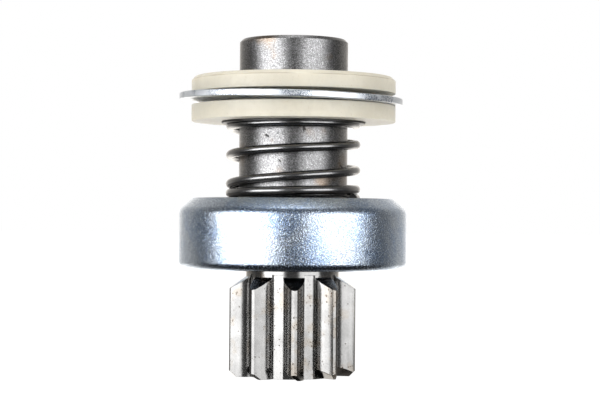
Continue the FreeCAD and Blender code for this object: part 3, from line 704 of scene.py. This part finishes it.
class OBJECT_OT_drive_rings(bpy.types.Operator):
    """Turns the two nylon shift rings and the thin seat under them"""

    bl_idname = "object.drive_rings"
    bl_label = "Shift rings"

    def execute(self, context):
        sizes = context.scene.drive_sizes
        edge = sizes.broken_edge
        nylon = nylon_finish(context.scene.drive_colours, high("upper_shift_ring", 2) - sizes.ring_edge)
        seat_base, seat_top = low("spring_seat", 2), high("spring_seat", 2)
        seat_rim = high("spring_seat", 0)
        seat = turn(
            "thin_seat",
            [
                (sizes.ring_bore, seat_base, 0),
                (seat_rim, seat_base, edge),
                (seat_rim, seat_top, edge),
                (sizes.ring_bore, seat_top, 0),
            ],
        )
        # The thin seat disc sits under the lower ring; its near-black is painted shade for the gap line
        # there
        seat_painted_shade = turned_finish("seat_steel_plate", context.scene.drive_colours.seat, 0.35)
        dress(seat, "spring_seat", "spring_seat", seat_painted_shade)
        base, hub_top = low("lower_shift_ring", 2), high("lower_shift_ring", 2)
        rim = high("lower_shift_ring", 0)
        lower = turn(
            "lower_nylon_ring",
            [
                (sizes.ring_bore, base, edge),
                (rim, base, edge),
                (rim, base + sizes.ring_thickness, edge),
                (sizes.hub_radius, base + sizes.ring_thickness, 0),
                (sizes.hub_radius, hub_top, 0),
                (sizes.ring_bore, hub_top, 0),
            ],
        )
        dress(lower, "shift_rings", "lower_shift_ring", nylon)
        top = high("upper_shift_ring", 2)
        pocket_floor = top - sizes.snap_pocket_depth
        upper = turn(
            "upper_nylon_ring",
            [
                (sizes.ring_bore, hub_top, 0),
                (sizes.hub_radius, hub_top, 0),
                (sizes.hub_radius, top - sizes.ring_thickness, 0),
                (rim, top - sizes.ring_thickness, edge),
                (rim, top - sizes.ring_edge, sizes.ring_edge / 3),
                (rim - sizes.ring_edge, top, sizes.ring_edge / 3),
                (sizes.snap_pocket, top, edge),
                (sizes.snap_pocket, pocket_floor, 0),
                (sizes.ring_bore, pocket_floor, edge),
            ],
        )
        dress(upper, "shift_rings", "upper_shift_ring", nylon)
        return {"FINISHED"}


class OBJECT_OT_drive_washer(bpy.types.Operator):
    """Turns the loose steel washer and hangs it between the rings"""

    bl_idname = "object.drive_washer"
    bl_label = "Loose washer"

    def execute(self, context):
        sizes = context.scene.drive_sizes
        edge = sizes.broken_edge
        half = sizes.washer_thickness / 2
        piece = turn(
            "loose_washer",
            [
                (sizes.washer_bore, -half, edge),
                (sizes.washer_rim, -half, 2 * edge),
                (sizes.washer_rim, half, 2 * edge),
                (sizes.washer_bore, half, edge),
            ],
        )
        middle = high("lower_shift_ring", 2)
        tilt = Matrix.Rotation(sizes.washer_tilt, 4, "Y") @ Matrix.Rotation(sizes.washer_nod, 4, "X")
        piece.matrix_world = Matrix.Translation((-sizes.washer_offset, 0, middle)) @ tilt
        select_only(piece)
        bpy.ops.object.transform_apply(location=True, rotation=True, scale=True)
        material = washer_finish(context.scene.drive_colours)
        dress(piece, "shift_washer", "shift_washer", material)
        return {"FINISHED"}


class OBJECT_OT_drive_insides(bpy.types.Operator):
    """Finishes the bushes and all the pieces inside the clutch"""

    bl_idname = "object.drive_insides"
    bl_label = "Inside pieces"

    def execute(self, context):
        colours = context.scene.drive_colours
        bearing = turned_finish("bearing_plate", colours.bearing, 0.22)
        bronze = turned_finish("bronze_bush", colours.bronze, 0.30)
        wire = spring_finish(colours, "oiled_thin_wire")
        finishes = (("bearing_steel", bearing), ("bronze", bronze), ("spring_steel", wire))
        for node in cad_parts.values():
            slot = node.data.materials[0].name
            for beginning, material in finishes:
                if slot.startswith(beginning) and not node.hide_render:
                    node.data.materials[0] = material
        return {"FINISHED"}


class SCENE_OT_drive_stage(bpy.types.Operator):
    """Sets the pale floor, the two soft boxes, the room around them and the camera"""

    bl_idname = "scene.drive_stage"
    bl_label = "Stage"

    def light_room(self, scene):
        """White where the camera looks, a studio that is dark in front and bright behind in gloss."""
        room = Shading(bpy.data.worlds.new("studio"))
        scene.world = room.owner
        way = room.node("ShaderNodeTexCoord", output="Generated")
        behind = room.node("ShaderNodeSeparateXYZ", {}, {"Vector": way}, "Y")
        above = room.node("ShaderNodeSeparateXYZ", {}, {"Vector": way}, "Z")
        across = room.node("ShaderNodeSeparateXYZ", {}, {"Vector": way}, "X")
        angle = across.worked("ARCTAN2", across, 0 - behind)
        camera = room.node("ShaderNodeLightPath", output="Is Camera Ray")
        gloss = room.node("ShaderNodeLightPath", output="Is Glossy Ray")
        glass = room.node("ShaderNodeLightPath", output="Is Transmission Ray")
        fill = ROOM_FILL + above.step(0.0, 1.0) * ROOM_SKY
        under = 1 - above.step(*UNDER_SPAN)
        mirrored = ROOM_DARK - under * (ROOM_DARK - ROOM_UNDER)
        mirrored = mirrored + behind.step(*SIDES_SPAN) * ROOM_SIDES + behind.step(*BACK_SPAN) * ROOM_BACK
        mirrored = mirrored + under * behind.step(*REAR_FLOOR_SPAN) * ROOM_REAR_FLOOR
        mirrored = mirrored + above.step(*CEILING_SPAN) * ROOM_CEILING
        foot = above.step(-BOX_FOOT - 0.01, -BOX_FOOT) * (1 - above.step(0, 0.001))
        for _, turned, wide, light in BOXES:
            spread = math.atan(wide / 2 / BOX_DISTANCE)
            start, end = math.radians(turned) - spread, math.radians(turned) + spread
            across_box = angle.step(start, start + BOX_BLUR) * (1 - angle.step(end - BOX_BLUR, end))
            mirrored = mirrored + across_box * foot * light
        strength = fill + (gloss + glass) * (mirrored - fill) + camera * (1 - fill)
        tone = room.mix(gloss * behind.step(*TONE_SPAN), (1, 1, 1), ROOM_SIDE_TONE)
        light = room.node("ShaderNodeBackground", {}, {"Color": tone, "Strength": strength})
        room.node("ShaderNodeOutputWorld", {}, {"Surface": light})

    def lay_floor(self):
        """A white floor that keeps the shadow of the part."""
        bpy.ops.mesh.primitive_plane_add(size=FLOOR_SIZE, location=(0, 0, 0))
        floor = bpy.context.object
        floor.name = "floor"
        paint = Shading(bpy.data.materials.new("white_floor"))
        camera = paint.node("ShaderNodeLightPath", output="Is Camera Ray")
        gloss = paint.node("ShaderNodeLightPath", output="Is Glossy Ray")
        lit = paint.node("ShaderNodeBsdfDiffuse", {}, {"Color": FLOOR_PAINT})
        glow = paint.node("ShaderNodeEmission", {}, {"Strength": FLOOR_GLOW})
        clear = paint.node("ShaderNodeBsdfTransparent")
        seen = paint.node("ShaderNodeMixShader", {}, {0: camera * FLOOR_SHARE, 1: lit, 2: glow})
        both = paint.node("ShaderNodeMixShader", {}, {0: gloss, 1: seen, 2: clear})
        paint.node("ShaderNodeOutputMaterial", {}, {"Surface": both})
        floor.data.materials.append(paint.owner)

    def hang_boxes(self):
        """Two soft boxes, to the left and the right of the camera."""
        for name, turned, wide, light in BOXES:
            turned = math.radians(turned)
            place = Vector((math.sin(turned), -math.cos(turned), 0)) * BOX_DISTANCE
            place.z = BOX_TALL / 2
            bpy.ops.object.light_add(type="AREA", location=place)
            lamp = bpy.context.object
            lamp.name = name
            lamp.data.shape = "RECTANGLE"
            lamp.data.size = wide
            lamp.data.size_y = BOX_TALL
            lamp.data.energy = math.pi * wide * BOX_TALL * light
            aim = Vector((0, 0, place.z)) - place
            lamp.rotation_euler = aim.to_track_quat("-Z", "Y").to_euler()

    def execute(self, context):
        scene = context.scene
        scene.view_settings.view_transform = "Standard"
        bpy.ops.object.select_all(action="DESELECT")
        self.light_room(scene)
        self.lay_floor()
        self.hang_boxes()
        bpy.ops.object.camera_add(location=CAMERA_PLACE)
        camera = context.object
        camera.name = "camera"
        camera.data.lens = CAMERA_LENS
        camera.data.sensor_width = CAMERA_FILM
        camera.data.clip_start = CAMERA_CLIP
        turns = Matrix.Identity(4)
        for axis, degrees in CAMERA_TURNS:
            turns = turns @ Matrix.Rotation(math.radians(degrees), 4, axis)
        camera.rotation_euler = turns.to_euler()
        scene.camera = camera
        return {"FINISHED"}


class VIEW3D_PT_drive(bpy.types.Panel):
    """Lists the steps that shape the starter drive"""

    bl_label = "Starter drive"
    bl_space_type = "VIEW_3D"
    bl_region_type = "UI"
    bl_category = "Starter drive"

    def draw(self, context):
        for operator in OPERATORS:
            self.layout.operator(operator.bl_idname)


OPERATORS = (
    OBJECT_OT_drive_pinion,
    OBJECT_OT_drive_cover,
    OBJECT_OT_drive_sleeve,
    OBJECT_OT_drive_spring,
    OBJECT_OT_drive_rings,
    OBJECT_OT_drive_washer,
    OBJECT_OT_drive_insides,
    SCENE_OT_drive_stage,
)
CLASSES = (DriveSizes, DriveColours, *OPERATORS, VIEW3D_PT_drive)


def register():
    for entry in CLASSES:
        bpy.utils.register_class(entry)
    bpy.types.Scene.drive_sizes = bpy.props.PointerProperty(type=DriveSizes)
    bpy.types.Scene.drive_colours = bpy.props.PointerProperty(type=DriveColours)


def unregister():
    del bpy.types.Scene.drive_colours
    del bpy.types.Scene.drive_sizes
    for entry in reversed(CLASSES):
        bpy.utils.unregister_class(entry)


def main():
    register()
    bpy.ops.scene.drive_stage()
    bpy.ops.object.drive_pinion()
    bpy.ops.object.drive_cover()
    bpy.ops.object.drive_sleeve()
    bpy.ops.object.drive_spring()
    bpy.ops.object.drive_rings()
    bpy.ops.object.drive_washer()
    bpy.ops.object.drive_insides()


if __name__ == "__main__":
    main()
